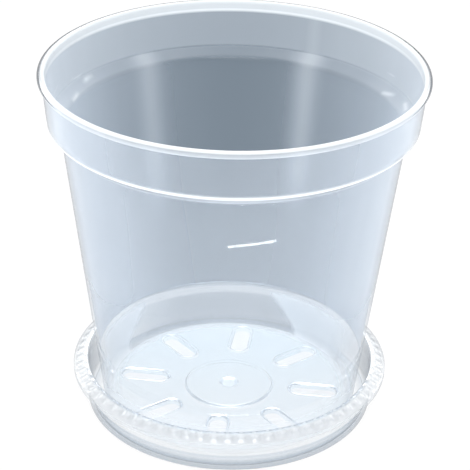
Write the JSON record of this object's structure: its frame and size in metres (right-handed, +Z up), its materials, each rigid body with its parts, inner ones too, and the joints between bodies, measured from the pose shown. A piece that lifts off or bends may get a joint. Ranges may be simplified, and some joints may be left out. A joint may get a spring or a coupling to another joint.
{
  "type": "orchid pot with saucer",
  "caption": "Clear round orchid pot with a banded rim, tapered wall and slotted drain base, standing in a shallow clear saucer with a ribbed edge.",
  "frame": {"origin": "centre of the saucer's flat underside, on the surface that the object stands on", "axes": "+Z up along the axis that pot and saucer share, -Y towards the viewer of the picture"},
  "size_m": [0.15, 0.15, 0.1445],
  "materials": {
    "clear_pot": "natural polypropylene, clear with a slight blue milkiness, glossy",
    "clear_saucer": "natural polypropylene, clear and slightly milky, satin gloss"
  },
  "bodies": {
    "saucer": {"saucer": "clear_saucer"},
    "pot": {"pot": "clear_pot"}
  },
  "joints": [
    {"name": "pot_lift", "type": "slide", "parent": "saucer", "child": "pot", "axis": [0, 0, 1], "range_m": [0, 0.04]}
  ]
}
